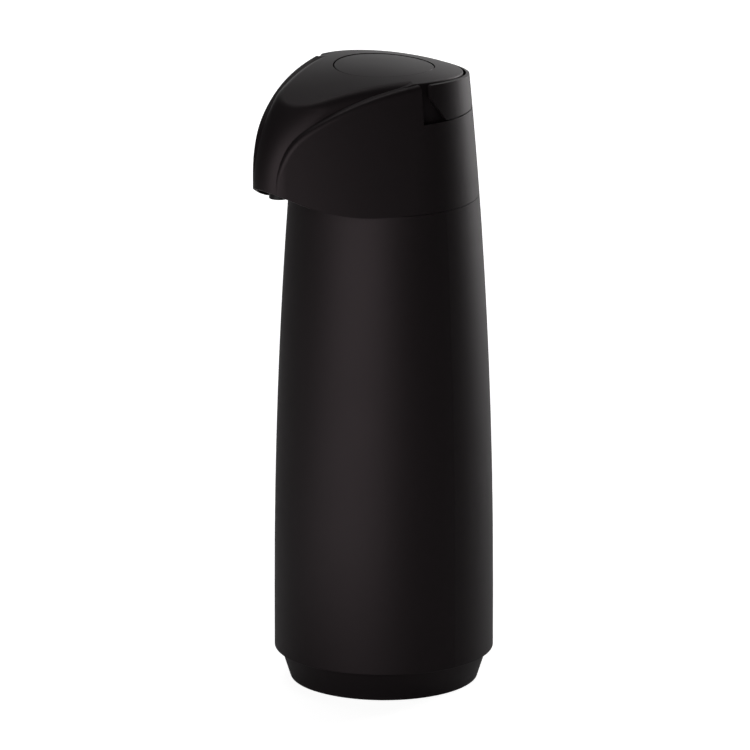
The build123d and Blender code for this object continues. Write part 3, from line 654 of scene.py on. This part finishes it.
class AirpotStudio(bpy.types.PropertyGroup):
    """The camera's place, the floor and the studio's light"""

    azimuth: FloatProperty(
        name="Azimuth",
        description="Camera's turn round the flask from its beak",
        subtype="ANGLE",
        default=math.radians(49.5),
    )
    elevation: FloatProperty(
        name="Elevation",
        description="Camera's height above level",
        subtype="ANGLE",
        default=math.radians(15.8),
    )
    lens: FloatProperty(
        name="Lens",
        description="Focal length, long so that the flask's sides stay upright",
        unit="CAMERA",
        default=600.0,
        min=1.0,
    )
    pixel: FloatProperty(
        name="Pixel",
        description="Length on the flask of one pixel of the photograph",
        subtype="DISTANCE",
        default=0.6011 * MM,
        min=0.01 * MM,
    )
    floor_radius: FloatProperty(
        name="Floor radius",
        description="Radius of the round floor",
        subtype="DISTANCE",
        default=2.2,
        min=0.5,
    )
    floor_glow: FloatProperty(
        name="Floor glow",
        description="White that the floor shows the camera besides its lit paint",
        subtype="FACTOR",
        default=0.88,
        min=0.0,
        max=1.0,
    )
    room: FloatProperty(
        name="Room",
        description="Strength of the light from all round",
        subtype="FACTOR",
        default=0.02,
        min=0.0,
        max=1.0,
    )
    gloss_share: FloatProperty(
        name="White in gloss",
        description="Share of the white background that reflections show",
        subtype="FACTOR",
        default=0.02,
        min=0.0,
        max=1.0,
    )
    reach: FloatProperty(
        name="Box distance",
        description="From the flask to each of the boxes",
        subtype="DISTANCE",
        default=2.2,
        min=1.0,
    )
    key: FloatProperty(
        name="Key",
        description="Wide softbox at the front left",
        unit="POWER",
        default=27.0,
        min=0.0,
    )
    rim: FloatProperty(
        name="Rim", description="Strip behind on the right", unit="POWER", default=26.0, min=0.0
    )
    back: FloatProperty(
        name="Back",
        description="Low box behind, for the crown's sheen",
        unit="POWER",
        default=6.0,
        min=0.0,
    )
    high: FloatProperty(
        name="High", description="Box high behind on the right", unit="POWER", default=7.0, min=0.0
    )
    top: FloatProperty(
        name="Top", description="Small box above and behind", unit="POWER", default=5.5, min=0.0
    )
    card: FloatProperty(
        name="Card",
        description="Glow of the floor at the front left",
        unit="POWER",
        default=1.7,
        min=0.0,
    )


class AIRPOT_OT_shells(bpy.types.Operator):
    """Finish the casing, foot, pump head, button, carrying handle and spout"""

    bl_idname = "airpot.shells"
    bl_label = "Finish the outer shells"

    def execute(self, context):
        look = context.scene.airpot_shell_look
        satin = moulded_black_polypropylene("moulded black polypropylene", look)
        dress(("outer_casing", "base_cup", "head_shell", "push_button", "carry_handle"), satin)
        polished = polished_black_polypropylene("polished black polypropylene", look)
        dress(("beak_floor", "spout_nozzle"), polished)
        return {"FINISHED"}


class AIRPOT_OT_inner_parts(bpy.types.Operator):
    """Finish the liner, seals, cap, pump and riser"""

    bl_idname = "airpot.inner_parts"
    bl_label = "Finish the inner parts"

    def execute(self, context):
        dress(("glass_liner",), silvered_glass("silvered glass"))
        silicone = cast_silicone("cast silicone")
        dress(("liner_seal", "lid_gasket", "air_tube", "intake_flap"), silicone)
        dress(("base_cushion", "bellows"), moulded_black_rubber("moulded black rubber"))
        grey = grey_polypropylene("grey polypropylene")
        dress(("screw_cap", "bellows_seat", "bellows_cap"), grey)
        natural = natural_polypropylene("natural polypropylene")
        dress(("valve_body", "dip_tube", "ball_guard", "delivery_tube"), natural)
        dress(("return_spring", "head_screws"), drawn_stainless_wire("drawn stainless wire"))
        dress(("check_ball",), lapped_stainless_ball("lapped stainless ball"))
        return {"FINISHED"}


class AIRPOT_OT_threads(bpy.types.Operator):
    """Wind the neck's and the cap's threads, half a pitch apart"""

    bl_idname = "airpot.threads"
    bl_label = "Wind the threads"

    def execute(self, context):
        size = context.scene.airpot_threads
        neck = node_box("lid_gasket")[1].x + GASKET_INSET
        cap = neck + CAP_CLEARANCE
        neck_low = node_box("outer_casing")[1].z - size.below_rim - size.turns * size.pitch
        cap_low = neck_low + size.pitch / 2
        satin = bpy.data.materials["moulded black polypropylene"]
        grey = bpy.data.materials["grey polypropylene"]
        shape = bmesh.new()
        thread_ridge(
            shape, neck, size.height, size.foot, neck_low, size.pitch, size.turns, ROUND_STEPS
        )
        new_piece("neck_thread", shape, satin, "flask")
        shape = bmesh.new()
        thread_ridge(
            shape, cap, -size.height, size.foot, cap_low, size.pitch, size.turns, ROUND_STEPS
        )
        new_piece("cap_thread", shape, grey, "pump_head")
        return {"FINISHED"}


class AIRPOT_OT_screws(bpy.types.Operator):
    """Turn the four pan-head screws with their sockets and self-tapping threads"""

    bl_idname = "airpot.screws"
    bl_label = "Turn the screws"

    def execute(self, context):
        size = context.scene.airpot_screws
        low, high = node_box("head_screws")
        head, shank = size.head_radius, size.shank_radius
        # The screws point up, with their heads below the flange that they go through.
        seat, point = low.z + size.head_height, high.z - size.point
        # The first screw is the outermost one sideways, which gives the circle they all stand on.
        circle = (high.x - head) / math.cos(math.radians(SCREW_DEGREES[0]))
        # From the tip down the shank, out along the pan head's seat and round its edge to its flat end.
        outline = (
            (size.tip_radius, high.z),
            (shank, point),
            (shank, seat),
            (head - 0.1 * MM, seat),
            (head, seat - 0.05 * MM),
            (head, seat - 0.7 * MM),
            (0.93 * head, seat - 1.15 * MM),
            (0.72 * head, low.z),
        )
        angles = angles_round(48)
        thread_steps = 24

        def socket_reach(angle):
            """From the socket's middle to its wall at that angle."""
            off_flat = angle % (math.pi / 3) - math.pi / 6
            return size.socket_radius * math.cos(math.pi / 6) / math.cos(off_flat)

        shape = bmesh.new()
        for degrees in SCREW_DEGREES:
            centre = polar(circle, math.radians(degrees), 0)
            rings = [[polar(radius, angle, z, centre) for angle in angles] for radius, z in outline]
            for z in (low.z, low.z + size.socket_depth):
                rings.append([polar(socket_reach(angle), angle, z, centre) for angle in angles])
            join_rings(shape, rings, closed=False)
            thread_ridge(
                shape,
                shank,
                size.ridge,
                size.ridge,
                seat + size.plain,
                size.pitch,
                (point - seat - size.plain - size.run_out) / size.pitch,
                thread_steps,
                centre,
            )
        wire = bpy.data.materials["drawn stainless wire"]
        screws = new_piece("screws", shape, wire, "pump_head")
        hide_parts("head_screws")
        return {"FINISHED"}


class AIRPOT_OT_bellows(bpy.types.Operator):
    """Mould the bellows with round folds"""

    bl_idname = "airpot.bellows"
    bl_label = "Mould the bellows"

    def execute(self, context):
        size = context.scene.airpot_pump
        low, high = node_box("bellows")
        root = high.x - size.fold_depth
        start, length = low.z + size.collar, high.z - low.z - 2 * size.collar
        fold_steps = 16
        steps = fold_steps * size.folds
        outside = [(root, low.z)]
        for step in range(steps + 1):
            swing = (1 - math.cos(math.tau * size.folds * step / steps)) / 2
            outside.append((root + size.fold_depth * swing, start + length * step / steps))
        outside.append((root, high.z))
        inside = [(radius - size.wall, z) for radius, z in reversed(outside)]
        shape = bmesh.new()
        turned(shape, outside + inside)
        rubber = bpy.data.materials["moulded black rubber"]
        bellows = new_piece("folded_bellows", shape, rubber, "pump_head")
        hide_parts("bellows")
        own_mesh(bellows)
        return {"FINISHED"}


class AIRPOT_OT_spring(bpy.types.Operator):
    """Wind the return spring with a closed coil at each end"""

    bl_idname = "airpot.spring"
    bl_label = "Wind the spring"

    def execute(self, context):
        size = context.scene.airpot_pump
        low, high = node_box("return_spring")
        wire_radius = size.wire / 2
        first, last = low.z + wire_radius, high.z - wire_radius
        closed = 1.0
        closed_rise = size.wire + 0.05 * MM
        wire_sides, coil_steps = 14, 72

        def middle_at(turn):
            """Height of the wire's middle, through a closed coil, the working ones and a closed one."""
            working = min(max(turn - closed, 0.0), size.coils) / size.coils
            ends = min(turn, closed) + max(turn - closed - size.coils, 0.0)
            return first + closed_rise * ends + (last - first - 2 * closed * closed_rise) * working

        def section_at(turn):
            """Radii and heights round the wire at that turn."""
            section = []
            for angle in angles_round(wire_sides):
                radius = size.coil_radius + wire_radius * math.cos(angle)
                section.append((radius, middle_at(turn) + wire_radius * math.sin(angle)))
            return section

        shape = bmesh.new()
        wound(shape, section_at, size.coils + 2 * closed, coil_steps)
        wire = bpy.data.materials["drawn stainless wire"]
        spring = new_piece("wound_spring", shape, wire, "pump_head")
        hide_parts("return_spring")
        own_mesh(spring)
        return {"FINISHED"}


def white_to_camera(tree, shown, lit, gloss_share):
    """Shows the white to the camera and through glass, a share of it in gloss, and lit elsewhere."""
    path = add_node(tree, "ShaderNodeLightPath")
    # Dark satin plastic mirrors a full white room as grey haze, so reflections take only a share.
    gloss = add_node(
        tree,
        "ShaderNodeMath",
        {"operation": "MULTIPLY", 1: gloss_share},
        {0: path.outputs["Is Glossy Ray"]},
    )
    seen = path.outputs["Is Camera Ray"]
    for other in (path.outputs["Is Transmission Ray"], gloss.outputs[0]):
        larger = add_node(tree, "ShaderNodeMath", {"operation": "MAXIMUM"}, {0: seen, 1: other})
        seen = larger.outputs[0]
    mix = add_node(tree, "ShaderNodeMixShader", {}, {0: seen, 1: lit, 2: shown})
    return mix.outputs[0]


def lamp(name, place, aim, width, height, power):
    """A rectangular lamp at place, facing aim, that the camera doesn't see."""
    data = bpy.data.lights.new(name, "AREA")
    data.shape = "RECTANGLE"
    data.size, data.size_y = width, height
    data.energy = power
    box = bpy.data.objects.new(name, data)
    bpy.context.scene.collection.objects.link(box)
    box.location = place
    box.rotation_mode = "QUATERNION"
    box.rotation_quaternion = (aim - place).to_track_quat("-Z", "Y")
    box.visible_camera = False


def around(azimuth, elevation, distance, centre):
    """A point at that angle round centre; azimuth 0 is in front of the beak, 90 on its right."""
    level = math.cos(elevation) * distance
    rise = math.sin(elevation) * distance
    return centre + Vector((math.sin(azimuth) * level, -math.cos(azimuth) * level, rise))


def set_camera(scene, studio):
    """The camera at the photograph's angle, with the flask where the photograph has it."""
    right = Vector((math.cos(studio.azimuth), math.sin(studio.azimuth), 0))
    middle = PHOTO_PIXELS / 2
    # The photograph's middle lies beside and above the middle of the foot.
    aim = right * (middle - FOOT_ACROSS) * studio.pixel
    aim.z = (FOOT_DOWN - middle) * studio.pixel / math.cos(studio.elevation)
    lens = bpy.data.cameras.new("camera")
    lens.lens = studio.lens
    lens.sensor_width = 36.0
    lens.clip_start, lens.clip_end = 0.1, 100.0
    distance = PHOTO_PIXELS * studio.pixel * studio.lens / lens.sensor_width
    camera = bpy.data.objects.new("camera", lens)
    scene.collection.objects.link(camera)
    camera.location = around(studio.azimuth, studio.elevation, distance, aim)
    camera.rotation_mode = "QUATERNION"
    camera.rotation_quaternion = (aim - camera.location).to_track_quat("-Z", "Y")
    scene.camera = camera


def lay_floor(scene, studio):
    """A round painted floor, on which the camera sees only the flask's shadow."""
    material, tree, output = bare_material("painted studio floor")
    paint = add_node(tree, "ShaderNodeBsdfDiffuse", {"Color": from_hex("cccccc")}).outputs[0]
    white = {"Color": from_hex("ffffff"), "Strength": studio.floor_glow}
    glow = add_node(tree, "ShaderNodeEmission", white).outputs[0]
    # The lit paint over a near-white glow comes out white, apart from where the shadow falls.
    shown = add_node(tree, "ShaderNodeAddShader", {}, {0: paint, 1: glow}).outputs[0]
    floor_look = white_to_camera(tree, shown, paint, studio.gloss_share)
    tree.links.new(floor_look, output.inputs["Surface"])
    shape = bmesh.new()
    bmesh.ops.create_circle(shape, cap_ends=True, segments=96, radius=studio.floor_radius)
    mesh = bpy.data.meshes.new("floor")
    shape.to_mesh(mesh)
    shape.free()
    mesh.materials.append(material)
    floor = bpy.data.objects.new("floor", mesh)
    scene.collection.objects.link(floor)


def paint_world(scene, studio):
    """A white background round a nearly dark room."""
    world = bpy.data.worlds.new("studio")
    scene.world = world
    world.use_nodes = True
    tree = world.node_tree
    tree.nodes.clear()
    output = add_node(tree, "ShaderNodeOutputWorld")
    white = {"Color": from_hex("ffffff"), "Strength": 1.0}
    shown = add_node(tree, "ShaderNodeBackground", white).outputs[0]
    dim = {"Color": from_hex("ffffff"), "Strength": studio.room}
    lit = add_node(tree, "ShaderNodeBackground", dim).outputs[0]
    background = white_to_camera(tree, shown, lit, studio.gloss_share)
    tree.links.new(background, output.inputs["Surface"])


def hang_lamps(studio):
    """Boxes of light round the flask, and a glowing card on the floor in front of it."""
    top_of_flask = CAD_HIGH[2]
    # Turn from the camera, positive to the right, and height, both in degrees; watts; and width
    # and tallness in metres. A level box stands on the floor, and a high one faces the flask's top.
    for name, turn, height, power, width, tall in (
        ("key softbox", -27, 0, studio.key, 2.4, 1.6),
        ("rim strip", 134, 0, studio.rim, 0.9, 1.6),
        ("back box", 180, 0, studio.back, 1.6, 1.2),
        ("high box", 150, 35, studio.high, 1.0, 1.0),
        ("top box", -150, 60, studio.top, 1.0, 1.0),
    ):
        middle = Vector((0, 0, top_of_flask if height else tall / 2))
        azimuth = studio.azimuth + math.radians(turn)
        place = around(azimuth, math.radians(height), studio.reach, middle)
        lamp(name, place, middle, width, tall, power)
    card_turn, card_distance, card_side = -35, 0.6, 0.7
    just_above_floor = Vector((0, 0, 4 * MM))
    card_azimuth = studio.azimuth + math.radians(card_turn)
    place = around(card_azimuth, 0, card_distance, just_above_floor)
    lamp("floor card", place, place + Vector((0, 0, 1)), card_side, card_side, studio.card)


class AIRPOT_OT_studio(bpy.types.Operator):
    """Set up the camera, the floor, the white background and the softboxes"""

    bl_idname = "airpot.studio"
    bl_label = "Build the studio"

    def execute(self, context):
        scene = context.scene
        studio = scene.airpot_studio
        set_camera(scene, studio)
        lay_floor(scene, studio)
        paint_world(scene, studio)
        hang_lamps(studio)
        scene.view_settings.view_transform = "Standard"
        return {"FINISHED"}


STEPS = (
    AIRPOT_OT_shells,
    AIRPOT_OT_inner_parts,
    AIRPOT_OT_threads,
    AIRPOT_OT_screws,
    AIRPOT_OT_bellows,
    AIRPOT_OT_spring,
    AIRPOT_OT_studio,
)
GROUPS = {
    "airpot_shell_look": AirpotShellLook,
    "airpot_threads": AirpotThreads,
    "airpot_screws": AirpotScrews,
    "airpot_pump": AirpotPump,
    "airpot_studio": AirpotStudio,
}


class AIRPOT_PT_panel(bpy.types.Panel):
    """Lists the steps, sizes and looks of the pump flask"""

    bl_label = "Pump flask"
    bl_idname = "AIRPOT_PT_panel"
    bl_space_type = "VIEW_3D"
    bl_region_type = "UI"
    bl_category = "Pump flask"

    def draw(self, context):
        for step in STEPS:
            self.layout.operator(step.bl_idname)
        for title, group in GROUPS.items():
            box = self.layout.box()
            for name in group.__annotations__:
                box.prop(getattr(context.scene, title), name)


CLASSES = (*GROUPS.values(), *STEPS, AIRPOT_PT_panel)


def register():
    for item in CLASSES:
        bpy.utils.register_class(item)
    for title, group in GROUPS.items():
        setattr(bpy.types.Scene, title, PointerProperty(type=group))


def unregister():
    for title in GROUPS:
        delattr(bpy.types.Scene, title)
    for item in reversed(CLASSES):
        bpy.utils.unregister_class(item)


def main():
    register()
    bpy.ops.airpot.shells()
    bpy.ops.airpot.inner_parts()
    bpy.ops.airpot.threads()
    bpy.ops.airpot.screws()
    bpy.ops.airpot.bellows()
    bpy.ops.airpot.spring()
    bpy.ops.airpot.studio()


if __name__ == "__main__":
    main()
